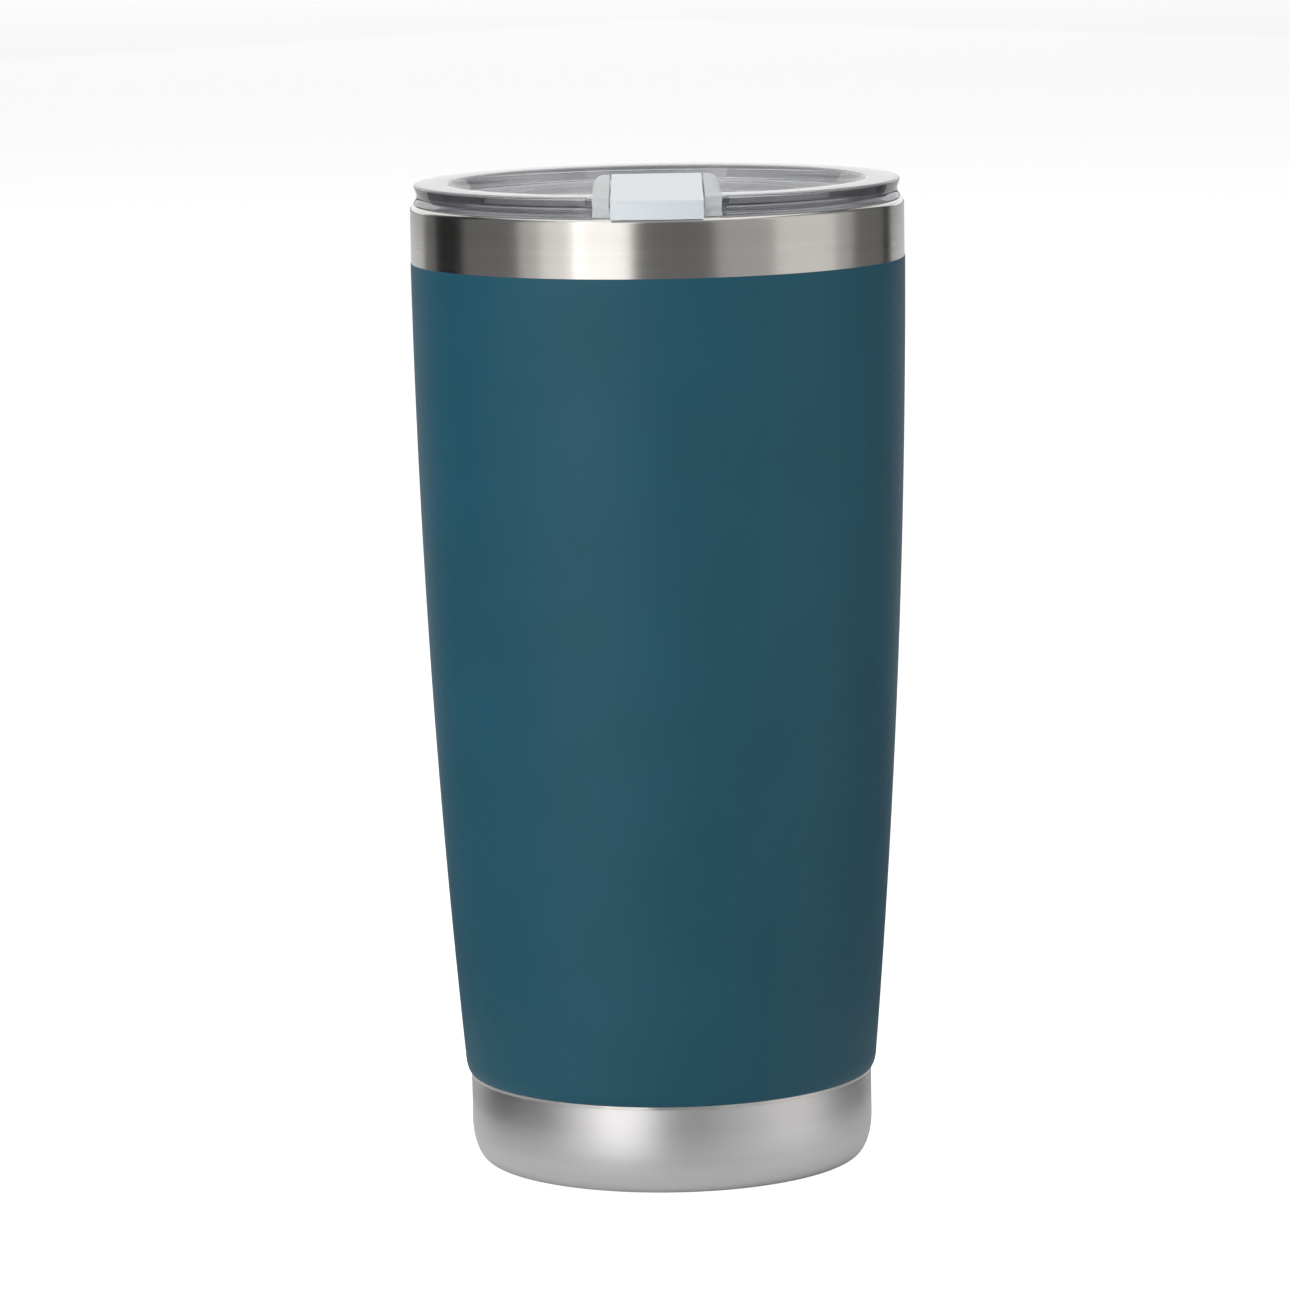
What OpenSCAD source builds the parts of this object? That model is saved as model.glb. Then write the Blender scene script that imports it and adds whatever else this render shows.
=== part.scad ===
// Vacuum-insulated tumbler with a clear flip-top lid.
// Origin: centre of the foot, at the height it stands on. +Z is up and the drinking side faces -Y.
// Millimetres throughout.

/* [Vessel] */
// Outer diameter of the bare steel band at the lip
lip_d = 88; // [86:0.5:92]
// Height of the lip above the foot
lip_h = 173.2; // [165:0.1:185]
// Height of the bare steel band between the lip and the coating
band_h = 10.4; // [7:0.1:14]
// Outer diameter of the bare base cup
base_d = 72.6; // [70:0.2:74]
// Height of the bare base cup
base_h = 15.5; // [13:0.5:18]
// Radius of the long bulge down the outer wall
bulge_r = 1800; // [1780:10:2400]
// Sheet thickness of the outer shell and the two outer bottoms
shell_t = 0.5; // [0.4:0.1:0.6]
// Sheet thickness of the inner liner
liner_t = 0.5; // [0.4:0.1:0.6]
// Thickness of the powder coating
coat_t = 0.1; // [0.1:0.05:0.2]
// Inner diameter of the mouth
mouth_d = 81.6; // [80:0.2:82]
// Inner diameter of the liner above its bottom corner
liner_foot_d = 62.4; // [56:0.2:64]
// Height of the liner's floor above the foot
floor_h = 14; // [13.5:0.5:18]

/* [Lid] */
// Outer diameter of the lid's top edge
rim_d = 86.5; // [86:0.1:87]
// Height of the lid's rim above the lip
rim_h = 3.6; // [3.4:0.1:4.2]
// Diameter of the recess in the lid, at the rim
recess_d = 74.2; // [73:0.2:75]
// Depth of the plug below the lip
plug_h = 13; // [12:0.5:16]
// Width of the drinking opening
spout_w = 13; // [10:0.5:14]
// Length of the drinking opening, front to back
spout_l = 6; // [5:0.5:7]

/* [Flip tab] */
// Width of the flip tab
tab_w = 16; // [15:0.5:18]
// Thickness of the tab's top plate
tab_t = 1.8; // [1.5:0.1:2]
// Thickness of each wall beside the tab
cheek_t = 3.1; // [2.6:0.1:3.6]
// Radius of the tab's hinge pins
pin_r = 1.3; // [1.1:0.05:1.4]

/* [Hidden] */
$fn = 96;
cut = 0.01; // how far a cutter runs past the face it cuts

// Outer wall
lip_r = lip_d / 2;
base_r = base_d / 2;
coat_top = lip_h - band_h;
wall_lean = 0.0075;      // slope of the wall where the coating starts, before the bulge adds to it
neck_h = base_h + 0.6;   // where the bare neck turns out into the shoulder
shoulder_h = 3.5;
shoulder_top = neck_h + shoulder_h;
wall_steps = 14;
function wall_r(z) = let (down = coat_top - z) lip_r - wall_lean * down - down * down / (2 * bulge_r);
shoulder_w = wall_r(shoulder_top) - base_r;

// Lip: two sheets curl together and a bead joins them at the crest
lip_round = 1;
crest_r = lip_r - lip_round;
bead_half = 0.3;

// Liner
mouth_r = mouth_d / 2;
liner_foot_r = liner_foot_d / 2;
mouth_h = 14.5;          // straight part of the mouth, where the gasket runs
mouth_bottom = lip_h - mouth_h;
liner_corner = 9;
liner_seam = floor_h + liner_corner + 1;
lip_curl = crest_r - mouth_r;
liner_lean = (mouth_r - liner_foot_r) / (mouth_bottom - liner_seam);
function liner_r(z) = liner_foot_r + liner_lean * (z - liner_seam);

// Base cup and vacuum bottom
base_corner_w = 3;
base_corner_h = 7;
foot_w = 2.8;            // width of the flat ring that the tumbler stands on
panel_rise = 1.2;        // how far the middle of the underside is pressed in
panel_slope_w = 1.5;
pan_floor = 6;
pan_corner = 3;
dimple_r = 6;
dimple_h = 1.6;
vent_r = 1;
bead_r = 4;

// Getter
getter_r = 4;
getter_h = 2.2;
getter_x = 18;
clip_t = 0.3;
clip_w = 5;
clip_foot = 3;

// Copper wrap
wrap_t = 0.05;
wrap_gap = 2;            // bare liner left above and below the wrap

// Lid
seat_gap = 0.1;          // between the lid's flange and the crest of the lip
seat = lip_h + seat_gap;
rim_r = rim_d / 2;
rim_top = lip_h + rim_h;
flange_r = rim_r + 0.05; // the flange flares out to cover the crest of the lip
waist_r = rim_r - 0.5;
recess_r = recess_d / 2;
deck_top = rim_top - 2.5;
deck_t = 2;
deck_bottom = deck_top - deck_t;
recess_lean = 1.2;       // how far the recess wall leans in on its way down
channel_floor = deck_top - 2; // the tab lies over a channel sunk in the deck
channel_wall = 1.8;
channel_front = -34;
channel_back = 5;
plug_bottom = lip_h - plug_h;
plug_r = 38.6;
plug_t = 2;
ridge_r = mouth_r - 0.7;
ridge_t = 1.2;
groove_top = lip_h - 5.7;
groove_h = 4.3;
rim_core_r0 = 39.6;      // the moulding is cored out under the rim between these radii
rim_core_r1 = 41.2;
rim_core_top = rim_top - 1.4;
air_hole_r = 1.2;
air_hole_y = 25;
spout_y = -29;
spout_round = 2.8;

// Flip tab and its hinge
side_gap = 0.3;          // between the tab and the cheek beside it
cheek_x = tab_w / 2 + side_gap;
cheek_out = cheek_x + cheek_t;
cheek_round = 2.4;
ear_top = rim_top + 0.8;
ear_r = 2.35;
hinge_y = 1.5;
hinge_z = ear_top - ear_r;
pin_gap = 0.06;
pin_out = cheek_x + 2.3;
knuckle_r = 2;
heel_y = 2.35;           // the tab's back corner, from the hinge pin, which stops the opening tab
heel_z = ear_r;
notch_floor = deck_top;
tab_under = notch_floor + 0.2;
tab_top = tab_under + tab_t;
catch_in = lip_r - 0.15;   // the catch hangs in front of the lip's rounded edge
catch_out = lip_r + 0.9;
catch_bottom = lip_h - 0.2;
catch_round = 1;
post = [8, 3, 1.3];      // locating post under the tab that the seal fits round
seal_w = 15.2;
seal_l = 8.6;
seal_round = 3;
seal_gap = 0.1;

// Gasket
fin_r = mouth_r - 0.1;
gasket_in = plug_r + 0.1;
gasket_out = 39.7;
gasket_gap = 0.1;

// Points of an arc about [x, y], from angle a0 to a1. ry squashes it to an ellipse.
function arc(x, y, r, a0, a1, n = 8, ry = undef) =
    [for (i = [0:n]) let (a = a0 + (a1 - a0) * i / n)
        [x + r * cos(a), y + (is_undef(ry) ? r : ry) * sin(a)]];

// Shoulder and long bulge of the outer wall, bottom to top. out moves it outwards.
function outer_wall(out) = concat(
    arc(base_r, shoulder_top, shoulder_w + out, -90, 0, 6, shoulder_h + out),
    [for (i = [1:wall_steps]) let (z = shoulder_top + (coat_top - shoulder_top) * i / wall_steps)
        [wall_r(z) + out, z]]);

function reversed(points) = [for (i = [len(points) - 1:-1:0]) points[i]];

// Turns an outline of [radius, height] points about the Z axis.
module turned(points) {
    rotate_extrude() polygon(points);
}

// A block with rounded upright corners, centred, standing on z = 0.
module rounded_block(w, l, h, r) {
    for (x = [-1, 1], y = [-1, 1])
        translate([x * (w / 2 - r), y * (l / 2 - r), 0]) cylinder(r = r, h = h, $fn = 48);
    translate([-w / 2, r - l / 2, 0]) cube([w, l - 2 * r, h]);
    translate([r - w / 2, -l / 2, 0]) cube([w - 2 * r, l, h]);
}

// ---- Vessel ----

module outer_shell() {
    lip_edge = acos(bead_half / lip_round);
    inner_edge = acos(bead_half / (lip_round - shell_t));
    shoulder_inside = arc(base_r - shell_t, shoulder_top, shoulder_w, -90, 0, 6, shoulder_h - shell_t);
    color("silver") turned(concat(
        [[base_r - shell_t, base_h], [base_r, base_h]],
        outer_wall(0),
        arc(crest_r, lip_h - lip_round, lip_round, 0, lip_edge),
        reversed(arc(crest_r, lip_h - lip_round, lip_round - shell_t, 0, inner_edge)),
        reversed([for (i = [1:wall_steps])
            let (z = shoulder_top + (coat_top - shoulder_top) * i / wall_steps) [wall_r(z) - shell_t, z]]),
        reversed(shoulder_inside)));
}

module powder_coat() {
    color("#205468") turned(concat(outer_wall(coat_t), reversed(outer_wall(0))));
}

module base_cup() {
    corner_r = base_r - base_corner_w;
    slope_out = corner_r - foot_w;
    slope_in = slope_out - panel_slope_w;
    color("silver") turned(concat(
        [[0, panel_rise], [slope_in, panel_rise], [slope_out, 0]],
        arc(corner_r, base_corner_h, base_corner_w, -90, 0, 10, base_corner_h),
        [[base_r, base_h], [base_r - shell_t, base_h]],
        arc(corner_r, base_corner_h, base_corner_w - shell_t, 0, -90, 10, base_corner_h - shell_t),
        [[slope_out + 0.3, shell_t], [slope_in + 0.3, panel_rise + shell_t], [0, panel_rise + shell_t]]));
}

// Closes the vacuum space. It is pumped out through the hole in its dimple.
module vacuum_bottom() {
    wall_out = base_r - shell_t;
    wall_top = neck_h + shell_t;
    corner_out = wall_out - pan_corner;
    color("silver") turned(concat(
        [[vent_r, pan_floor + dimple_h], [dimple_r - 2, pan_floor + dimple_h], [dimple_r, pan_floor]],
        arc(corner_out, pan_floor + pan_corner, pan_corner, -90, 0),
        [[wall_out, wall_top], [wall_out - shell_t, wall_top]],
        arc(corner_out, pan_floor + pan_corner, pan_corner - shell_t, 0, -90),
        [[dimple_r + 0.3, pan_floor + shell_t], [dimple_r - 1.7, pan_floor + dimple_h + shell_t],
         [vent_r, pan_floor + dimple_h + shell_t]]));
}

// Solder glass that sealed the pumping hole.
module seal_bead() {
    color("#30343a") turned(concat(
        [[0, pan_floor + dimple_h]],
        [[bead_r - 0.4, pan_floor + dimple_h]],
        arc(0, pan_floor + dimple_h, bead_r - 0.4, 0, -90, 8, 1.1)));
}

module getter_pellet() {
    color("#44464a") translate([getter_x, 0, pan_floor + shell_t]) cylinder(r = getter_r, h = getter_h);
}

// Strap welded to the vacuum bottom over the getter.
module getter_clip() {
    bottom = pan_floor + shell_t;
    top = bottom + getter_h;
    reach = getter_r + clip_t;
    color("silver") translate([getter_x, clip_w / 2, 0]) rotate([90, 0, 0]) linear_extrude(clip_w) polygon([
        [-reach - clip_foot, bottom], [-reach + clip_t, bottom], [-reach + clip_t, top],
        [reach - clip_t, top], [reach - clip_t, bottom], [reach + clip_foot, bottom],
        [reach + clip_foot, bottom + clip_t], [reach, bottom + clip_t], [reach, top + clip_t],
        [-reach, top + clip_t], [-reach, bottom + clip_t], [-reach - clip_foot, bottom + clip_t]]);
}

module inner_liner() {
    curl_z = lip_h - lip_curl;
    inside_end = acos(-bead_half / lip_curl);
    outside_end = acos(-bead_half / (lip_curl - liner_t));
    color("silver") turned(concat(
        [[liner_foot_r, liner_seam], [liner_foot_r + liner_t, liner_seam],
         [mouth_r + liner_t, mouth_bottom]],
        arc(crest_r, curl_z, lip_curl - liner_t, 180, outside_end),
        arc(crest_r, curl_z, lip_curl, inside_end, 180),
        [[mouth_r, mouth_bottom]]));
}

module liner_bottom() {
    corner_x = liner_foot_r - liner_corner;
    color("silver") turned(concat(
        [[0, floor_h - liner_t]],
        arc(corner_x, floor_h + liner_corner, liner_corner + liner_t, -90, 0),
        [[liner_foot_r + liner_t, liner_seam], [liner_foot_r, liner_seam]],
        arc(corner_x, floor_h + liner_corner, liner_corner, 0, -90),
        [[0, floor_h]]));
}

// Copper foil round the liner, which keeps radiant heat back.
module copper_wrap() {
    low = liner_seam + wrap_gap;
    high = mouth_bottom - wrap_gap;
    color("#c77b50") turned([
        [liner_r(low) + liner_t, low], [liner_r(low) + liner_t + wrap_t, low],
        [liner_r(high) + liner_t + wrap_t, high], [liner_r(high) + liner_t, high]]);
}

// Polished weld bead along the crest of the lip, between the two sheets.
module lip_weld() {
    out_low = lip_h - lip_round + (lip_round - shell_t) * sin(acos(bead_half / (lip_round - shell_t)));
    in_low = lip_h - lip_curl + (lip_curl - liner_t) * sin(acos(bead_half / (lip_curl - liner_t)));
    color("gainsboro") turned(concat(
        [[crest_r - bead_half, in_low], [crest_r + bead_half, out_low]],
        arc(crest_r, lip_h - lip_round, lip_round, acos(bead_half / lip_round), 90, 3),
        arc(crest_r, lip_h - lip_curl, lip_curl, 90, acos(-bead_half / lip_curl), 3)));
}

// ---- Lid ----

// Silicone ring in the plug's groove, with two thin fins that wipe the mouth.
module lid_gasket() {
    top = groove_top - gasket_gap;
    bottom = groove_top - groove_h + gasket_gap;
    fin = 0.6;
    middle = (top + bottom) / 2;
    color("#e6eaec") turned([
        [gasket_in, bottom], [gasket_out, bottom],
        [gasket_out, bottom + fin / 2], [fin_r, bottom + fin * 1.6], [fin_r, bottom + fin * 2.2],
        [gasket_out, bottom + fin * 2],
        [gasket_out, middle + fin / 2], [fin_r, middle + fin * 1.6], [fin_r, middle + fin * 2.2],
        [gasket_out, middle + fin * 2],
        [gasket_out, top], [gasket_in, top]]);
}

module lid_turning() {
    edge = 0.5;
    deck_r = recess_r - recess_lean;
    skirt_in = plug_r - plug_t;
    turned(concat(
        [[0, deck_bottom], [skirt_in - 1, deck_bottom]],
        arc(skirt_in - 1, deck_bottom - 1, 1, 90, 0, 4),
        arc(skirt_in + 0.8, plug_bottom + 0.8, 0.8, 180, 270, 4),
        arc(plug_r - 0.8, plug_bottom + 0.8, 0.8, 270, 360, 4),
        [[plug_r, groove_top - groove_h - ridge_t], [ridge_r, groove_top - groove_h - ridge_t + 0.3],
         [ridge_r, groove_top - groove_h], [plug_r, groove_top - groove_h],
         [plug_r, groove_top], [ridge_r, groove_top],
         [ridge_r, groove_top + ridge_t - 0.3], [plug_r, groove_top + ridge_t],
         [plug_r, seat], [rim_core_r0, rim_core_top - 0.3], [rim_core_r0 + 0.3, rim_core_top],
         [rim_core_r1 - 0.3, rim_core_top], [rim_core_r1, rim_core_top - 0.3],
         [rim_core_r1, seat], [flange_r - 0.1, seat], [flange_r, seat + 0.1], [flange_r, seat + 0.4],
         [waist_r + 0.08, seat + 1], [waist_r, seat + 1.4], [waist_r + 0.05, seat + 1.7]],
        arc(rim_r - edge, rim_top - edge, edge, 0, 90, 4),
        arc(recess_r + 0.4, rim_top - 0.4, 0.4, 90, 180, 4),
        arc(deck_r - 0.6, deck_top + 0.6, 0.6, 0, -90, 5),
        [[0, deck_top]]));
}

// The two walls beside the tab. They stand on the deck and end in the hinge ears.
module cheeks() {
    back = hinge_y + ear_r + 1;
    front = -recess_r;
    for (side = [-1, 1])
        intersection() {
            translate([0, back, 0]) rotate([90, 0, 0]) linear_extrude(back - front)
                scale([side, 1])
                    polygon(concat(
                        [[cheek_x, deck_top - 0.5], [cheek_out, deck_top - 0.5]],
                        arc(cheek_out - cheek_round, ear_top - cheek_round, cheek_round, 0, 90),
                        [[cheek_x, ear_top]]));
            rotate([90, 0, 90]) translate([0, 0, -cheek_out - 1]) linear_extrude(2 * cheek_out + 2)
                polygon(concat(
                    [[front, deck_top - 1], [back, deck_top - 1]],
                    arc(back - ear_r, hinge_z, ear_r, 0, 90),
                    [[hinge_y - 2, ear_top], [front, rim_top]]));
        }
}

// Under the notch the rim's core is left solid, so the notch has a floor.
module notch_bridge() {
    intersection() {
        translate([-cheek_x - channel_wall, -rim_r, seat]) cube([2 * (cheek_x + channel_wall), 5.5, notch_floor - seat]);
        cylinder(r = waist_r - 0.3, h = rim_top);
    }
}

// The tub under the deck that holds the channel.
module channel_tub() {
    half = cheek_x + channel_wall;
    bottom = channel_floor - deck_t;
    translate([-half, channel_front - channel_wall, bottom])
        cube([2 * half, channel_back - channel_front + 2 * channel_wall, deck_top - deck_t / 2 - bottom]);
}

module lid_body() {
    color("#dfe6ea", 0.35) difference() {
        union() {
            lid_turning();
            notch_bridge();
            channel_tub();
            cheeks();
        }
        // notch in the rim, which the tab lies in
        translate([-cheek_x, -rim_r - 1, notch_floor]) cube([2 * cheek_x, rim_r + 2 + channel_front, rim_h]);
        // channel between the cheeks
        translate([-cheek_x, channel_front, channel_floor])
            cube([2 * cheek_x, channel_back - channel_front, rim_h + 2]);
        // drinking opening and air hole
        translate([0, spout_y, channel_floor - deck_t - cut])
            rounded_block(spout_w, spout_l, deck_t + 2 * cut, spout_round);
        translate([0, air_hole_y, deck_bottom - cut]) cylinder(r = air_hole_r, h = deck_t + 2 * cut);
        // hinge bores
        translate([-cheek_out - 1, hinge_y, hinge_z]) rotate([0, 90, 0])
            cylinder(r = pin_r + pin_gap, h = 2 * cheek_out + 2);
    }
}

// Front edge of the tab: a plate that turns down over the rim as a thumb catch.
module tab_front() {
    intersection() {
        turned(concat(
            [[recess_r - 3, tab_under], [catch_in, tab_under], [catch_in, catch_bottom],
             [catch_out - 0.25, catch_bottom], [catch_out, catch_bottom + 0.25]],
            arc(catch_out - catch_round, tab_top - catch_round, catch_round, 0, 90, 6),
            [[recess_r - 3, tab_top]]));
        translate([-tab_w / 2, -catch_out - 1, lip_h - 2]) cube([tab_w, catch_out - recess_r + 5, 10]);
    }
}

module flip_tab() {
    plate_front = 3 - recess_r;
    color("#d3d9dd", 0.85) difference() {
        union() {
            tab_front();
            // sloping plate, from the front edge back to the heel that stops it
            translate([-tab_w / 2, 0, 0]) rotate([90, 0, 90]) linear_extrude(tab_w) polygon([
                [plate_front - 1.5, tab_under], [hinge_y - knuckle_r, hinge_z - 0.1], [hinge_y, hinge_z],
                [hinge_y + heel_y, hinge_z], [hinge_y + heel_y, hinge_z + heel_z - 0.3],
                [hinge_y + heel_y - 0.3, hinge_z + heel_z], [plate_front - 1.5, tab_top]]);
            translate([-tab_w / 2, hinge_y, hinge_z]) rotate([0, 90, 0]) cylinder(r = knuckle_r, h = tab_w);
            translate([-pin_out, hinge_y, hinge_z]) rotate([0, 90, 0]) cylinder(r = pin_r, h = 2 * pin_out);
            translate([-post.x / 2, spout_y - post.y / 2, tab_under - post.z]) cube([post.x, post.y, post.z + 1]);
        }
    }
}

// Silicone pad under the tab that closes the drinking opening.
module tab_seal() {
    bottom = channel_floor + seal_gap;
    color("#eef1f2") difference() {
        translate([0, spout_y, bottom]) rounded_block(seal_w, seal_l, tab_under - bottom, seal_round);
        translate([-post.x / 2, spout_y - post.y / 2, tab_under - post.z]) cube([post.x, post.y, post.z + 1]);
    }
}

outer_shell();
powder_coat();
base_cup();
vacuum_bottom();
seal_bead();
getter_pellet();
getter_clip();
inner_liner();
liner_bottom();
copper_wrap();
lip_weld();
lid_gasket();
lid_body();
flip_tab();
tab_seal();
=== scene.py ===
"""Vacuum-insulated tumbler with a clear flip-top lid: studio scene and finishes. Metres, +Z up."""

import math

import bmesh
import bpy
from mathutils import Matrix, Vector


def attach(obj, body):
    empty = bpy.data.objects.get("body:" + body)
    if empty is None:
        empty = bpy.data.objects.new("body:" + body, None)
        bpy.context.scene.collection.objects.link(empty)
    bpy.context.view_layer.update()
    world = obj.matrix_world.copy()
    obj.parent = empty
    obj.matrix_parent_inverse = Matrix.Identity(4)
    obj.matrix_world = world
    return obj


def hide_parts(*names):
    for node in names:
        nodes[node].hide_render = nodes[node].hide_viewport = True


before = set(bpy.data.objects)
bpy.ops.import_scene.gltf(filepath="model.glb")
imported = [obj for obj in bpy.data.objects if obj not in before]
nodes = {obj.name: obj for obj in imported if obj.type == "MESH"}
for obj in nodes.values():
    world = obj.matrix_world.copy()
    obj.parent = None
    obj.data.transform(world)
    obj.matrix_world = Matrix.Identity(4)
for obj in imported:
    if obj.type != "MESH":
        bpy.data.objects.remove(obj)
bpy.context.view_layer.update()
scene = bpy.context.scene

MM = 0.001
TURN_STEPS = 192  # segments round each turned piece


# ---- Shapes ----


def add_piece(name, mesh, material, body, smooth_angle=40):
    """Makes a finished bmesh an object that rides on a body, shaded smooth apart from sharp edges."""
    for face in mesh.faces:
        face.smooth = True
    for edge in mesh.edges:
        edge.smooth = edge.calc_face_angle(0) < math.radians(smooth_angle)
    data = bpy.data.meshes.new(name)
    mesh.to_mesh(data)
    mesh.free()
    piece = bpy.data.objects.new(name, data)
    scene.collection.objects.link(piece)
    data.materials.append(material)
    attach(piece, body)
    return piece


def spun(profile, steps=TURN_STEPS):
    """Turns an outline of (radius, height) points in millimetres about the Z axis."""
    mesh = bmesh.new()
    points = [mesh.verts.new((r * MM, 0, z * MM)) for r, z in profile]
    edges = [mesh.edges.new((points[i], points[(i + 1) % len(points)])) for i in range(len(points))]
    bmesh.ops.spin(mesh, geom=points + edges, cent=(0, 0, 0), axis=(0, 0, 1), angle=math.tau,
                   steps=steps, use_merge=True, use_duplicate=False)
    bmesh.ops.remove_doubles(mesh, verts=mesh.verts, dist=1e-7)
    bmesh.ops.recalc_face_normals(mesh, faces=mesh.faces)
    return mesh


def block(low, high, radius=0.0, axis=2, segments=8):
    """A box between two corners in millimetres, with its edges along one axis rounded."""
    mesh = bmesh.new()
    low, high = Vector(low) * MM, Vector(high) * MM
    bmesh.ops.create_cube(mesh, size=1, matrix=Matrix.LocRotScale((low + high) / 2, None, high - low))
    if radius:
        along = [e for e in mesh.edges if abs((e.verts[0].co - e.verts[1].co)[axis]) > 1e-5]
        bmesh.ops.bevel(mesh, geom=along, offset=radius * MM, affect="EDGES", segments=segments,
                        profile=0.5, material=-1)
    return mesh


def rod(radius, reach, y, z, segments=48):
    """A round pin along X, centred on X = 0, in millimetres."""
    mesh = bmesh.new()
    bmesh.ops.create_cone(mesh, cap_ends=True, segments=segments, radius1=radius * MM, radius2=radius * MM,
                          depth=2 * reach * MM)
    bmesh.ops.rotate(mesh, verts=mesh.verts, matrix=Matrix.Rotation(math.pi / 2, 3, "Y"))
    bmesh.ops.translate(mesh, verts=mesh.verts, vec=(0, y * MM, z * MM))
    return mesh


def prism(outline, axis, low, high):
    """A side outline pushed out along X (points are y, z) or along Y (points are x, z), in millimetres."""
    mesh = bmesh.new()
    place = (lambda u, z: (low, u, z)) if axis == "X" else (lambda u, z: (u, low, z))
    corners = [mesh.verts.new(Vector(place(u, z)) * MM) for u, z in outline]
    push = Vector((high - low, 0, 0)) if axis == "X" else Vector((0, high - low, 0))
    pushed = bmesh.ops.extrude_face_region(mesh, geom=[mesh.faces.new(corners)])["geom"]
    bmesh.ops.translate(mesh, verts=[v for v in pushed if isinstance(v, bmesh.types.BMVert)], vec=push * MM)
    bmesh.ops.recalc_face_normals(mesh, faces=mesh.faces)
    return mesh


def joined(base, *steps):
    """Joins, cuts or crosses a closed mesh with others; each step is an operation and a mesh."""

    def blank(mesh):
        data = bpy.data.meshes.new("blank")
        mesh.to_mesh(data)
        mesh.free()
        thing = bpy.data.objects.new("blank", data)
        scene.collection.objects.link(thing)
        return thing

    body = blank(base)
    tools = []
    for operation, mesh in steps:
        tools.append(blank(mesh))
        step = body.modifiers.new("step", "BOOLEAN")
        step.operation = operation
        step.solver = "EXACT"
        step.object = tools[-1]
    made = bmesh.new()
    made.from_object(body, bpy.context.evaluated_depsgraph_get())
    for thing in [body, *tools]:
        bpy.data.meshes.remove(thing.data)
    bmesh.ops.remove_doubles(made, verts=made.verts, dist=1e-7)
    return made


# ---- Materials ----


def new_material(name):
    """Returns a material, its node tree's nodes and links, and its shader."""
    material = bpy.data.materials.new(name)
    material.use_nodes = True
    tree = material.node_tree
    return material, tree.nodes, tree.links, tree.nodes["Principled BSDF"]


def pattern_space(nodes_, links, scale):
    """Object coordinates, stretched by a scale per axis."""
    coordinates = nodes_.new("ShaderNodeTexCoord")
    mapping = nodes_.new("ShaderNodeMapping")
    mapping.inputs["Scale"].default_value = scale
    links.new(coordinates.outputs["Object"], mapping.inputs["Vector"])
    return mapping.outputs["Vector"]


def noise(nodes_, links, vector, scale, detail=3.0, roughness=0.5):
    texture = nodes_.new("ShaderNodeTexNoise")
    texture.inputs["Scale"].default_value = scale
    texture.inputs["Detail"].default_value = detail
    texture.inputs["Roughness"].default_value = roughness
    links.new(vector, texture.inputs["Vector"])
    return texture.outputs["Fac"]


def spread(nodes_, links, factor, low, high):
    """Maps a noise's middle range to low..high."""
    mapped = nodes_.new("ShaderNodeMapRange")
    mapped.inputs["From Min"].default_value = 0.3
    mapped.inputs["From Max"].default_value = 0.7
    mapped.inputs["To Min"].default_value = low
    mapped.inputs["To Max"].default_value = high
    links.new(factor, mapped.inputs["Value"])
    return mapped.outputs["Result"]


def blend_colours(nodes_, links, factor, low, high):
    mix = nodes_.new("ShaderNodeMix")
    mix.data_type = "RGBA"
    mix.inputs["A"].default_value = (*low, 1)
    mix.inputs["B"].default_value = (*high, 1)
    links.new(factor, mix.inputs["Factor"])
    return mix.outputs["Result"]


def bump(nodes_, links, shader, height, strength, distance):
    relief = nodes_.new("ShaderNodeBump")
    relief.inputs["Strength"].default_value = strength
    relief.inputs["Distance"].default_value = distance
    links.new(height, relief.inputs["Height"])
    links.new(relief.outputs["Normal"], shader.inputs["Normal"])


def brushed_steel(name, dark, light, rough_low, rough_high, anisotropy, grain=0.06, lines=5200):
    """Steel brushed round the body: long fine lines, so highlights spread up and down."""
    material, nodes_, links, shader = new_material(name)
    shader.inputs["Metallic"].default_value = 1.0
    shader.inputs["Anisotropic"].default_value = anisotropy
    shader.inputs["Anisotropic Rotation"].default_value = 0.25
    tangent = nodes_.new("ShaderNodeTangent")
    tangent.direction_type = "RADIAL"
    tangent.axis = "Z"
    links.new(tangent.outputs["Tangent"], shader.inputs["Tangent"])
    fine = noise(nodes_, links, pattern_space(nodes_, links, (25, 25, lines)), 1.0, 4.0, 0.6)
    broad = noise(nodes_, links, pattern_space(nodes_, links, (6, 6, 240)), 1.0, 2.0)
    links.new(blend_colours(nodes_, links, spread(nodes_, links, broad, 0, 1), dark, light),
              shader.inputs["Base Color"])
    links.new(spread(nodes_, links, fine, rough_low, rough_high), shader.inputs["Roughness"])
    bump(nodes_, links, shader, fine, grain, 0.00005)
    return material


def powder_coat():
    """Satin polyester powder coat: fine orange peel over a slightly uneven dark teal."""
    material, nodes_, links, shader = new_material("teal_powder_coat")
    shader.inputs["Specular IOR Level"].default_value = 0.36
    space = pattern_space(nodes_, links, (1, 1, 1))
    tone = noise(nodes_, links, space, 45, 3.0)
    links.new(blend_colours(nodes_, links, spread(nodes_, links, tone, 0, 1), (0.003, 0.073, 0.115),
                            (0.004, 0.081, 0.128)), shader.inputs["Base Color"])
    peel = noise(nodes_, links, space, 1500, 2.0)
    links.new(spread(nodes_, links, peel, 0.47, 0.55), shader.inputs["Roughness"])
    bump(nodes_, links, shader, peel, 0.12, 0.00006)
    return material


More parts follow.
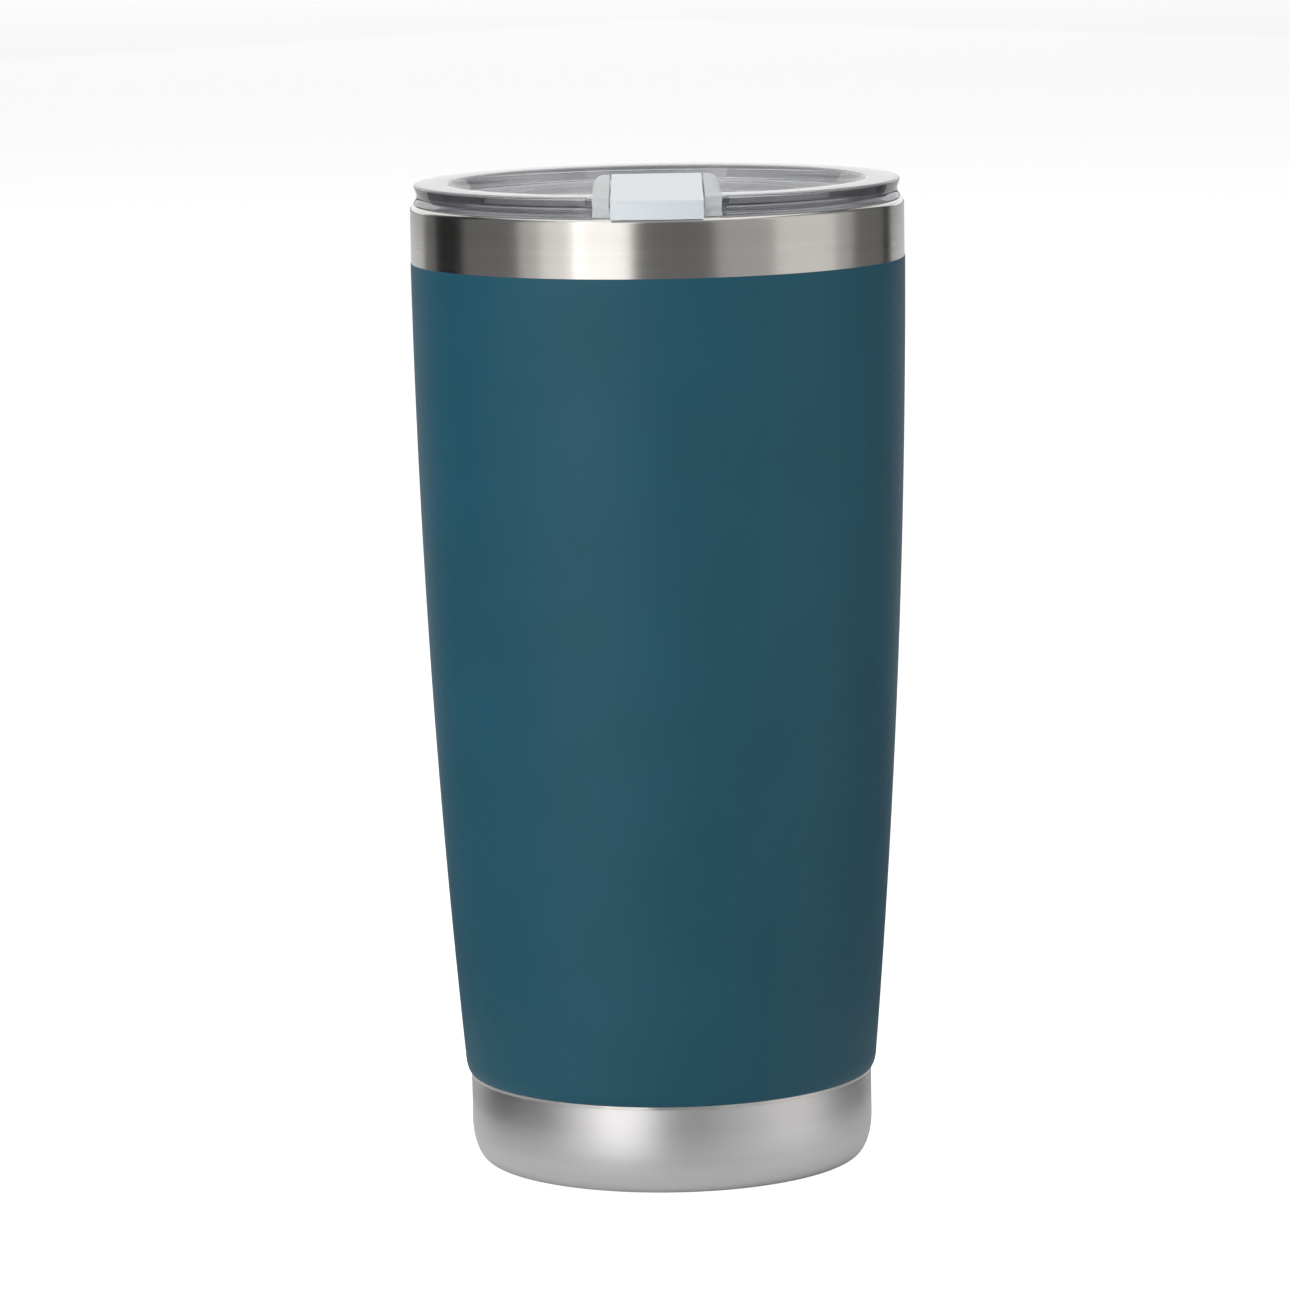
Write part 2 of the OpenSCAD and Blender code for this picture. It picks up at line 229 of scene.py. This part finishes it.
def clear_plastic(name="clear_lid_plastic", low=(0.87, 0.88, 0.9), high=(0.89, 0.9, 0.915), clear=0.94,
                  rough_low=0.045, rough_high=0.055):
    """Moulded clear plastic. The part that isn't clear is a faint white haze; the grey and dark colours given
    for some lid faces make tints of painted shade and painted dark reflection.
    """
    material, nodes_, links, shader = new_material(name)
    shader.inputs["Transmission Weight"].default_value = clear
    shader.inputs["IOR"].default_value = 1.5
    space = pattern_space(nodes_, links, (1, 1, 1))
    haze = noise(nodes_, links, space, 60, 2.0)
    links.new(blend_colours(nodes_, links, spread(nodes_, links, haze, 0, 1), low, high),
              shader.inputs["Base Color"])
    links.new(spread(nodes_, links, haze, rough_low, rough_high), shader.inputs["Roughness"])
    return material


def milky_plastic():
    material, nodes_, links, shader = new_material("milky_tab_plastic")
    shader.inputs["IOR"].default_value = 1.49
    shader.inputs["Subsurface Weight"].default_value = 0.5
    shader.inputs["Subsurface Radius"].default_value = (0.0015, 0.0015, 0.0015)
    space = pattern_space(nodes_, links, (1, 1, 1))
    cloud = noise(nodes_, links, space, 90, 2.0)
    links.new(blend_colours(nodes_, links, spread(nodes_, links, cloud, 0, 1), (0.69, 0.73, 0.77),
                            (0.705, 0.745, 0.785)), shader.inputs["Base Color"])
    links.new(spread(nodes_, links, cloud, 0.33, 0.36), shader.inputs["Roughness"])
    return material


def silicone():
    material, nodes_, links, shader = new_material("white_silicone")
    shader.inputs["Subsurface Weight"].default_value = 0.2
    shader.inputs["Subsurface Radius"].default_value = (0.002, 0.002, 0.002)
    space = pattern_space(nodes_, links, (1, 1, 1))
    bloom = noise(nodes_, links, space, 400, 3.0)
    links.new(blend_colours(nodes_, links, spread(nodes_, links, bloom, 0, 1), (0.74, 0.78, 0.8),
                            (0.8, 0.83, 0.85)), shader.inputs["Base Color"])
    links.new(spread(nodes_, links, bloom, 0.42, 0.6), shader.inputs["Roughness"])
    return material


lip_steel = brushed_steel("brushed_lip_steel", (0.6, 0.585, 0.56), (0.68, 0.665, 0.645), 0.18, 0.26, 0.6)
base_steel = brushed_steel("satin_base_steel", (0.7, 0.695, 0.705), (0.76, 0.755, 0.765), 0.4, 0.47, 0.5)
liner_steel = brushed_steel("electropolished_steel", (0.8, 0.8, 0.81), (0.86, 0.86, 0.87), 0.38, 0.44, 0.2,
                            0.004, 400)


def grainy(name, low, high, roughness, metallic=0.0, scale=900, relief=0.2):
    """A plain fine-grained finish for the sealed inner pieces."""
    material, nodes_, links, shader = new_material(name)
    shader.inputs["Metallic"].default_value = metallic
    grain = noise(nodes_, links, pattern_space(nodes_, links, (1, 1, 1)), scale, 4.0, 0.6)
    links.new(blend_colours(nodes_, links, spread(nodes_, links, grain, 0, 1), low, high),
              shader.inputs["Base Color"])
    links.new(spread(nodes_, links, grain, *roughness), shader.inputs["Roughness"])
    bump(nodes_, links, shader, grain, relief, 0.00008)
    return material


teal = powder_coat()
clear = clear_plastic()
frosted = clear_plastic("frosted_lid_plastic", (0.68, 0.7, 0.72), (0.72, 0.735, 0.755), 0.4, 0.42, 0.48)
# The rim's outer side is tinted near-black: a painted dark reflection of the dim surroundings, not the
# plastic's own colour.
painted_dark_rim = clear_plastic("dark_reflection_tint_plastic", (0.055, 0.057, 0.065), (0.065, 0.067, 0.075), 0.97)
# The flange below the rim is tinted grey: painted shade on clear plastic.
painted_shade_flange = clear_plastic("flange_shade_tint_plastic", (0.36, 0.365, 0.39), (0.42, 0.425, 0.45), 0.97)
# The rim's top is tinted grey: painted shade where the clear plastic alone would look bright.
painted_grey_rim_crown = clear_plastic("grey_shade_tint_plastic", (0.42, 0.425, 0.45), (0.46, 0.465, 0.49), 0.9)
# The deck's top face is milky white: a faint haze, and mostly painted brightness standing in for the glare
# off the deck and the lit cup seen through it.
hazy_bright_deck = clear_plastic("deck_haze_and_painted_brightness", (0.87, 0.88, 0.905), (0.89, 0.9, 0.92), 0.4)
milky = milky_plastic()
white_silicone = silicone()


def give(node, material):
    slots = nodes[node].data.materials
    slots.clear()
    slots.append(material)


give("outer_shell", lip_steel)
give("lip_weld", lip_steel)
give("base_cup", base_steel)
give("inner_liner", liner_steel)
give("liner_bottom", liner_steel)
give("vacuum_bottom", liner_steel)
give("getter_clip", liner_steel)
give("powder_coat", teal)
give("seal_bead", grainy("dark_solder_glass", (0.02, 0.022, 0.026), (0.04, 0.043, 0.05), (0.08, 0.16),
                         relief=0.05))
give("getter_pellet", grainy("sintered_getter", (0.05, 0.05, 0.055), (0.13, 0.13, 0.14), (0.75, 0.95),
                             relief=0.6))
give("copper_wrap", grainy("copper_foil", (0.68, 0.3, 0.17), (0.8, 0.42, 0.27), (0.2, 0.34), 1.0, 260))
give("lid_body", clear)
give("flip_tab", milky)
give("tab_seal", white_silicone)
give("lid_gasket", white_silicone)


# ---- Vessel ----

LIP_R, LIP_H, BAND_H = 44.0, 173.2, 10.4
BASE_R, BASE_H = 36.3, 15.5
SHEET, COAT = 0.5, 0.1
MOUTH_R, MOUTH_H = 40.8, 14.5  # straight part of the mouth, where the gasket runs
FLOOR_Z, FLOOR_CORNER, LINER_FOOT_R = 14, 9, 31.2
COAT_TOP = LIP_H - BAND_H
NECK_H = BASE_H + 0.6
SHOULDER_H = 3.5
SHOULDER_TOP = NECK_H + SHOULDER_H
WALL_LEAN, BULGE_R = 0.0075, 1800
LIP_ROUND = 1.0
CREST_R = LIP_R - LIP_ROUND


def arc(x, y, r, start, end, steps=10, ry=None):
    """Points of an arc, in degrees. ry squashes it to an ellipse."""
    turn = [math.radians(start + (end - start) * i / steps) for i in range(steps + 1)]
    return [(x + r * math.cos(t), y + (r if ry is None else ry) * math.sin(t)) for t in turn]


def wall_r(z):
    """Radius of the steel wall: a slight lean and a long bulge."""
    down = COAT_TOP - z
    return LIP_R - WALL_LEAN * down - down * down / (2 * BULGE_R)


def outer_wall(out, steps=40):
    """Shoulder and bulge, bottom to top."""
    shoulder_w = wall_r(SHOULDER_TOP) - BASE_R
    rise = COAT_TOP - SHOULDER_TOP
    bulge = [(wall_r(SHOULDER_TOP + rise * i / steps) + out, SHOULDER_TOP + rise * i / steps)
             for i in range(1, steps + 1)]
    return arc(BASE_R, SHOULDER_TOP, shoulder_w + out, -90, 0, 12, SHOULDER_H + out) + bulge


def coated_wall():
    """The coating feathers out to the steel in a short round edge at its top."""
    outside = outer_wall(COAT)
    feather = arc(outside[-1][0] - COAT, COAT_TOP - 0.12, COAT, 0, 90, 5, 0.12)
    return outside[:-1] + feather + outer_wall(0.005)[::-1]


def steel_wall():
    """Outer sheet, rolled in at the lip and down the mouth to the liner."""
    outside = [(BASE_R, BASE_H)] + outer_wall(0)
    curl = CREST_R - MOUTH_R
    rolled = (arc(CREST_R, LIP_H - LIP_ROUND, LIP_ROUND, 0, 90, 14)
              + arc(CREST_R, LIP_H - curl, curl, 90, 180, 18))
    inside_roll = (arc(CREST_R, LIP_H - curl, curl - SHEET, 180, 90, 18)
                   + arc(CREST_R, LIP_H - LIP_ROUND, LIP_ROUND - SHEET, 90, 0, 14))
    inside = [(r - SHEET, z) for r, z in outer_wall(0, 12)[::-1]] + [(BASE_R - SHEET, BASE_H)]
    mouth_foot = [(MOUTH_R, LIP_H - MOUTH_H), (MOUTH_R + SHEET, LIP_H - MOUTH_H)]
    # The two rolls meet at the crest, so the second one's first point is left out.
    return outside + rolled + mouth_foot + inside_roll[:19] + inside_roll[20:] + inside


def base_profile():
    """Bottom cup: pressed-in panel, foot ring, deep rounded corner and straight side."""
    corner_r = BASE_R - 3
    slope_out = corner_r - 2.8
    slope_in = slope_out - 1.5
    panel = 1.2
    return ([(0, panel), (slope_in - 0.6, panel), (slope_in, panel - 0.06), (slope_in + 0.5, panel - 0.35),
             (slope_out - 0.5, 0.3), (slope_out, 0.04), (slope_out + 0.5, 0)]
            + arc(corner_r, 7, 3, -90, 0, 24, 7)
            + [(BASE_R, BASE_H - 0.1), (BASE_R - 0.08, BASE_H), (BASE_R - SHEET, BASE_H)]
            + arc(corner_r, 7, 3 - SHEET, 0, -90, 12, 7 - SHEET)
            + [(slope_out + 0.3, SHEET), (slope_in + 0.3, panel + SHEET), (0, panel + SHEET)])


def inner_wall():
    """Liner with its round floor corner, up to where the mouth turns straight."""
    corner_x, corner_z = LINER_FOOT_R - FLOOR_CORNER, FLOOR_Z + FLOOR_CORNER
    seam_z, mouth_z = corner_z + 1, LIP_H - MOUTH_H
    return ([(0, FLOOR_Z - SHEET)] + arc(corner_x, corner_z, FLOOR_CORNER + SHEET, -90, 0, 18)
            + [(LINER_FOOT_R + SHEET, seam_z), (MOUTH_R + SHEET, mouth_z)]
            + [(MOUTH_R, mouth_z), (LINER_FOOT_R, seam_z)]
            + arc(corner_x, corner_z, FLOOR_CORNER, 0, -90, 18) + [(0, FLOOR_Z)])


coat = add_piece("coating", spun(coated_wall()), teal, "tumbler")
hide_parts("powder_coat")
liner = add_piece("liner_wall", spun(inner_wall()), liner_steel, "tumbler")
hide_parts("inner_liner", "liner_bottom")
wall = add_piece("steel_wall", spun(steel_wall()), lip_steel, "tumbler")
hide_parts("outer_shell", "lip_weld")
bottom = add_piece("base", spun(base_profile()), base_steel, "tumbler")
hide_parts("base_cup")


# ---- Lid ----

SEAT = LIP_H + 0.1
RIM_R, RIM_TOP = 43.25, LIP_H + 3.6
RECESS_R, DECK, DECK_T = 37.1, RIM_TOP - 2.5, 2
WAIST_Z = SEAT + 1.7  # where the flange narrows to the rim
PLUG_R, PLUG_BOTTOM = 38.6, LIP_H - 13
RIDGE_R, RIDGE_T = 40.1, 1.2
GROOVE_TOP, GROOVE_H = LIP_H - 5.7, 4.3
CHANNEL_FLOOR, CHANNEL_FRONT, CHANNEL_BACK = DECK - 2, -34, 5
CHEEK_IN, CHEEK_OUT = 8.3, 11.4
EAR_TOP, EAR_R = RIM_TOP + 0.8, 2.35
HINGE_Y, HINGE_Z = 1.5, EAR_TOP - EAR_R
TAB_HALF, TAB_UNDER, TAB_TOP = 8, DECK + 0.2, DECK + 2
CATCH_IN, CATCH_OUT, CATCH_BOTTOM = 43.85, 44.9, LIP_H - 0.2
SPOUT_Y = -29


def lid_outline():
    """Rim with a cored-out underside, sloped recess wall, deck, and the plug with its gasket groove."""
    deck_r, skirt = RECESS_R - 1.2, PLUG_R - 2
    flange_r, waist_r, core_top = RIM_R + 0.05, RIM_R - 0.5, RIM_TOP - 1.4
    return ([(0, DECK - DECK_T), (skirt - 1, DECK - DECK_T)] + arc(skirt - 1, DECK - DECK_T - 1, 1, 90, 0, 8)
            + arc(skirt + 0.8, PLUG_BOTTOM + 0.8, 0.8, 180, 270, 8)
            + arc(PLUG_R - 0.8, PLUG_BOTTOM + 0.8, 0.8, 270, 360, 8)
            + [(PLUG_R, GROOVE_TOP - GROOVE_H - RIDGE_T), (RIDGE_R, GROOVE_TOP - GROOVE_H - RIDGE_T + 0.3),
               (RIDGE_R, GROOVE_TOP - GROOVE_H), (PLUG_R, GROOVE_TOP - GROOVE_H), (PLUG_R, GROOVE_TOP),
               (RIDGE_R, GROOVE_TOP), (RIDGE_R, GROOVE_TOP + RIDGE_T - 0.3), (PLUG_R, GROOVE_TOP + RIDGE_T),
               (PLUG_R, SEAT)]
            + arc(39.9, core_top - 0.3, 0.3, 180, 90, 5) + arc(40.9, core_top - 0.3, 0.3, 90, 0, 5)
            + [(41.2, SEAT)] + arc(flange_r - 0.1, SEAT + 0.1, 0.1, -90, 0, 4)
            + arc(flange_r + 0.9, SEAT + 1.4, 1.4, 232, 180, 8)[2:] + [(waist_r + 0.05, WAIST_Z)]
            + arc(RIM_R - 0.5, RIM_TOP - 0.5, 0.5, 0, 90, 10)
            + arc(RECESS_R + 0.5, RIM_TOP - 0.5, 0.5, 90, 170, 8)
            + arc(deck_r - 0.6, DECK + 0.6, 0.6, -10, -90, 8) + [(0, DECK)])


def cheek(side):
    """Wall beside the tab, with a round shoulder outside and a round hinge ear behind."""
    front_view = ([(CHEEK_IN, DECK - 0.5), (CHEEK_OUT, DECK - 0.5)]
                  + arc(CHEEK_OUT - 2.4, EAR_TOP - 2.4, 2.4, 0, 90, 14)
                  + arc(CHEEK_IN + 0.2, EAR_TOP - 0.2, 0.2, 90, 180, 4))
    back = HINGE_Y + EAR_R + 1
    side_view = ([(-RECESS_R, DECK - 0.6), (back, DECK - 0.6)] + arc(back - EAR_R, HINGE_Z, EAR_R, 0, 90, 14)
                 + [(HINGE_Y - 2, EAR_TOP), (-RECESS_R, RIM_TOP)])
    return joined(prism([(side * x, z) for x, z in front_view], "Y", -RECESS_R, back),
                  ("INTERSECT", prism(side_view, "X", -12, 12)))


def lid_moulding():
    """The turned lid with its channel, notch, cheeks and holes."""
    tub = CHEEK_IN + 1.8
    tub_box = block((-tub, CHANNEL_FRONT - 1.8, CHANNEL_FLOOR - 2), (tub, CHANNEL_BACK + 1.8, DECK - 1), 0.8)
    core_r = RIM_R - 0.8
    core = joined(block((-tub, -RIM_R, SEAT), (tub, -37.75, DECK)),
                  ("INTERSECT", spun([(0, SEAT - 1), (core_r, SEAT - 1), (core_r, DECK + 1), (0, DECK + 1)])))
    notch = block((-CHEEK_IN, -50, DECK), (CHEEK_IN, CHANNEL_FRONT + 0.01, 182))
    channel = block((-CHEEK_IN, CHANNEL_FRONT, CHANNEL_FLOOR), (CHEEK_IN, CHANNEL_BACK, 182))
    spout = block((-6.5, SPOUT_Y - 3, 168), (6.5, SPOUT_Y + 3, 176), 2.8)
    return joined(spun(lid_outline()), ("UNION", tub_box), ("UNION", cheek(1)), ("UNION", cheek(-1)),
                  ("UNION", core), ("DIFFERENCE", notch), ("DIFFERENCE", channel), ("DIFFERENCE", spout),
                  ("DIFFERENCE", drill(1.2, 25, 170, 176)),
                  ("DIFFERENCE", rod(1.36, 14, HINGE_Y, HINGE_Z)))


def drill(radius, y, low, high):
    """A round drill along Z, in millimetres."""
    mesh = bmesh.new()
    middle = Matrix.Translation(Vector((0, y, (low + high) / 2)) * MM)
    bmesh.ops.create_cone(mesh, cap_ends=True, segments=40, radius1=radius * MM, radius2=radius * MM,
                          depth=(high - low) * MM, matrix=middle)
    return mesh


def tab_moulding():
    """Flip tab: a sloping plate with a knuckle, its pins, and a front that turns down as a thumb catch."""
    inner = RECESS_R - 3
    front = joined(spun([(inner, TAB_UNDER), (CATCH_IN, TAB_UNDER), (CATCH_IN, CATCH_BOTTOM),
                         (CATCH_OUT - 0.25, CATCH_BOTTOM), (CATCH_OUT, CATCH_BOTTOM + 0.25)]
                        + arc(CATCH_OUT - 1, TAB_TOP - 1, 1, 0, 90, 14) + [(inner, TAB_TOP)]),
                   ("INTERSECT", block((-TAB_HALF, -48, 170), (TAB_HALF, 4 - RECESS_R, 182))))
    heel_y, heel_z = HINGE_Y + 2.35, HINGE_Z + 2.35
    rise = (heel_z - TAB_TOP) / (heel_y - 1.5 + RECESS_R)
    under = [(-40, TAB_UNDER + 0.1), (HINGE_Y - 2, HINGE_Z - 0.1), (HINGE_Y, HINGE_Z), (heel_y, HINGE_Z)]
    over = arc(heel_y - 0.3, heel_z - 0.3, 0.3, 0, 90, 5) + [(-40, TAB_TOP - rise * (41.5 - RECESS_R))]
    plate = prism(under + over, "X", -TAB_HALF, TAB_HALF)
    return joined(front, ("UNION", plate), ("UNION", rod(2, TAB_HALF, HINGE_Y, HINGE_Z)),
                  ("UNION", rod(1.3, CHEEK_IN + 2.3, HINGE_Y, HINGE_Z)), ("UNION", stud()))


def stud():
    """Short square stud under the tab that the sealing pad is pressed on to."""
    return block((-4, SPOUT_Y - 1.5, TAB_UNDER - 1.3), (4, SPOUT_Y + 1.5, TAB_UNDER + 1), 0.4)


def seal_pad():
    """Silicone pad that covers the drinking opening, with a pocket for the stud."""
    return joined(block((-7.6, SPOUT_Y - 4.3, CHANNEL_FLOOR + 0.1), (7.6, SPOUT_Y + 4.3, TAB_UNDER), 3),
                  ("DIFFERENCE", stud()))


def gasket_ring():
    """Sealing ring with two fins that lean up against the mouth."""
    inner, outer, tip = PLUG_R + 0.1, 39.7, 40.7
    low, high, fin = GROOVE_TOP - GROOVE_H + 0.1, GROOVE_TOP - 0.1, 0.6
    outline = [(inner, low), (outer, low)]
    for start in (low, (low + high) / 2):
        outline += ([(outer, start + fin / 2)] + arc(tip - 0.18, start + fin * 1.9, 0.18, -60, 90, 6)
                    + [(outer, start + fin * 2)])
    return spun(outline + [(outer, high), (inner, high)])


def lid_finish_or_tint(x, y, z):
    """Finish or painted tint of the lid's face that is centred here, as a place in the lid's list of finishes
    and tints.
    """
    radius = math.hypot(x, y)
    on_outside = radius > RIM_R - 2.5
    in_cheek = CHEEK_IN - 0.05 < abs(x) < CHEEK_OUT + 0.1 and z > DECK + 0.05 and y < HINGE_Y + EAR_R + 1.1
    by_notch = abs(x) < CHEEK_OUT - 0.6 and y < -40 and SEAT + 0.02 < z < WAIST_Z + 0.05
    if in_cheek or by_notch:
        return LID_FINISHES_AND_TINTS.index(frosted)
    # Painted light on the lid: a dark reflection painted on the rim's side, shade painted on its top and
    # flange, and brightness painted on the deck's top face.
    if on_outside and WAIST_Z + 0.1 < z < RIM_TOP - 0.5:
        return LID_FINISHES_AND_TINTS.index(painted_dark_rim)
    if radius > RECESS_R - 0.5 and z > RIM_TOP - 0.01:
        return LID_FINISHES_AND_TINTS.index(painted_grey_rim_crown)
    if radius < RECESS_R + 0.5 and abs(z - DECK) < 0.03:
        return LID_FINISHES_AND_TINTS.index(hazy_bright_deck)
    if on_outside and SEAT + 0.05 < z < WAIST_Z:
        return LID_FINISHES_AND_TINTS.index(painted_shade_flange)
    return LID_FINISHES_AND_TINTS.index(clear)


LID_FINISHES_AND_TINTS = (clear, frosted, painted_dark_rim, painted_grey_rim_crown, hazy_bright_deck, painted_shade_flange)
lid = add_piece("clear_lid", lid_moulding(), clear, "lid", 30)
for finish in LID_FINISHES_AND_TINTS[1:]:
    lid.data.materials.append(finish)
# Each face gets its finish, or its tint of painted shade, painted dark reflection or painted brightness.
for face in lid.data.polygons:
    face.material_index = lid_finish_or_tint(*(face.center / MM))
lid.visible_shadow = False
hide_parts("lid_body")
ring = add_piece("gasket", gasket_ring(), white_silicone, "lid")
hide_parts("lid_gasket")
tab = add_piece("tab", tab_moulding(), milky, "flip_tab", 30)
soft_edges = tab.modifiers.new("soft_edges", "BEVEL")
soft_edges.width = 0.00022
soft_edges.segments = 3
soft_edges.limit_method = "ANGLE"
soft_edges.angle_limit = math.radians(40)
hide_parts("flip_tab")
pad = add_piece("seal_pad", seal_pad(), white_silicone, "flip_tab", 30)
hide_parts("tab_seal")


# ---- Studio ----


def card(name, width, height, azimuth, distance, level, colour=(1, 1, 1), strength=None):
    """A soft box (or, with no strength, a black flag) that faces the tumbler. Azimuth 0 is the front."""
    angle = math.radians(azimuth)
    place = Vector((math.sin(angle) * distance, -math.cos(angle) * distance, level))
    facing = (Vector((0, 0, 0.1)) - place).to_track_quat("-Z", "Y")
    if strength is not None:
        lamp = bpy.data.lights.new(name, "AREA")
        lamp.shape = "RECTANGLE"
        lamp.size, lamp.size_y = width, height
        lamp.energy = strength * width * height * math.pi
        lamp.color = colour
        thing = bpy.data.objects.new(name, lamp)
        thing.visible_camera = False
    else:
        mesh = bmesh.new()
        bmesh.ops.create_grid(mesh, x_segments=1, y_segments=1, size=0.5,
                              matrix=Matrix.Diagonal((width, height, 1, 1)))
        data = bpy.data.meshes.new(name)
        mesh.to_mesh(data)
        mesh.free()
        thing = bpy.data.objects.new(name, data)
        flag, _, _, shader = new_material(name + "_cloth")
        shader.inputs["Base Color"].default_value = (0.03, 0.03, 0.03, 1)
        shader.inputs["Roughness"].default_value = 1.0
        shader.inputs["Specular IOR Level"].default_value = 0.0
        data.materials.append(flag)
        thing.visible_camera = thing.visible_transmission = False
    scene.collection.objects.link(thing)
    thing.location = place
    thing.rotation_mode = "QUATERNION"
    thing.rotation_quaternion = facing
    return thing


def paper(name, radius, segments, place, glow):
    """A flat sheet of pale matt paper, which glows a little."""
    mesh = bmesh.new()
    bmesh.ops.create_circle(mesh, cap_ends=True, radius=radius, segments=segments)
    bmesh.ops.translate(mesh, verts=mesh.verts, vec=place)
    data = bpy.data.meshes.new(name)
    mesh.to_mesh(data)
    mesh.free()
    finish, _, _, shader = new_material(name + "_paper")
    shader.inputs["Base Color"].default_value = (0.9, 0.9, 0.9, 1)
    shader.inputs["Roughness"].default_value = 0.9
    shader.inputs["Specular IOR Level"].default_value = 0.1
    shader.inputs["Emission Color"].default_value = (1, 1, 1, 1)
    shader.inputs["Emission Strength"].default_value = glow
    data.materials.append(finish)
    sheet = bpy.data.objects.new(name, data)
    scene.collection.objects.link(sheet)
    sheet.visible_transmission = False
    return sheet


# Endless pale paper that the camera sees, and a table top that the tumbler mirrors.
studio_floor = paper("studio_floor", 9, 96, (0, 0, -0.0003), 0.42)
studio_floor.visible_glossy = False
table_top = paper("table_top", 0.1, 96, (0, 0, -0.0001), 0)
table_top.visible_camera = table_top.visible_shadow = False
# White paper flat on the table behind the tumbler, which only the steel mirrors.
behind = paper("rear_paper", 2.2, 4, (0, 2.35, -0.0002), 0.06)
behind.visible_camera = behind.visible_shadow = behind.visible_diffuse = False

# A dim room with a bright paper backdrop: what the camera sees past the set is white.
world = bpy.data.worlds.new("studio")
scene.world = world
world.use_nodes = True
room_nodes, room_links = world.node_tree.nodes, world.node_tree.links
room = room_nodes["Background"]
seen_direct = room_nodes.new("ShaderNodeLightPath")
room_tone = (0.17, 0.17, 0.17, 1)
for kind, tone in (("Is Transmission Ray", 0.7), ("Is Camera Ray", 0.97)):
    step = room_nodes.new("ShaderNodeMix")
    step.data_type = "RGBA"
    if isinstance(room_tone, tuple):
        step.inputs["A"].default_value = room_tone
    else:
        room_links.new(room_tone, step.inputs["A"])
    step.inputs["B"].default_value = (tone, tone, tone, 1)
    room_links.new(seen_direct.outputs[kind], step.inputs["Factor"])
    room_tone = step.outputs["Result"]
room_links.new(room_tone, room.inputs["Color"])
scene.view_settings.view_transform = "Standard"

card("overhead_soft_box", 3.4, 3.4, 0, 0.01, 2.4, strength=1.15)
backdrop = card("backdrop_light", 13, 6.5, 183, 7, 3.2, strength=0.92)
backdrop.visible_transmission = False
card("left_soft_box", 1.13, 3.0, -25.4, 2.2, 0.6, (1, 0.985, 0.96), 1.42)
card("left_inner_fill", 0.8, 3.0, -46, 2.3, 0.6, (1, 0.98, 0.95), 0.42)
card("left_outer_fill", 1.5, 3.0, -51, 2.5, 0.6, (1, 0.98, 0.95), 0.4)
for box in (card("right_soft_box", 4.1, 3.0, 64.5, 2.5, 0.6, (1, 0.99, 0.97), 0.31),
            card("right_inner_fill", 1.6, 3.0, 73, 2.4, 0.6, (1, 0.96, 0.91), 0.36)):
    box.visible_diffuse = False
card("left_flag", 1.02, 2.8, -113.5, 2.2, 0.9)
card("right_flag", 0.33, 2.8, 133, 2.2, 0.9)
key = card("left_key", 1.6, 2.2, -62, 2.4, 1.0, (1, 0.99, 0.97), 1.15)
key.visible_glossy = key.visible_transmission = False


# ---- Camera ----

camera_data = bpy.data.cameras.new("camera")
camera_data.sensor_width = 36
camera_data.lens = 173.74
camera_data.clip_start, camera_data.clip_end = 0.05, 50
camera = bpy.data.objects.new("camera", camera_data)
scene.collection.objects.link(camera)
scene.camera = camera
heading, dip, roll = math.radians(-0.18), math.radians(8.318), math.radians(-0.994)
aim = Vector((math.sin(heading) * math.cos(dip), math.cos(heading) * math.cos(dip), -math.sin(dip)))
camera.matrix_world = (Matrix.Translation((0, -1.1097, 0.2552))
                       @ aim.to_track_quat("-Z", "Y").to_matrix().to_4x4()
                       @ Matrix.Rotation(roll, 4, "Z"))
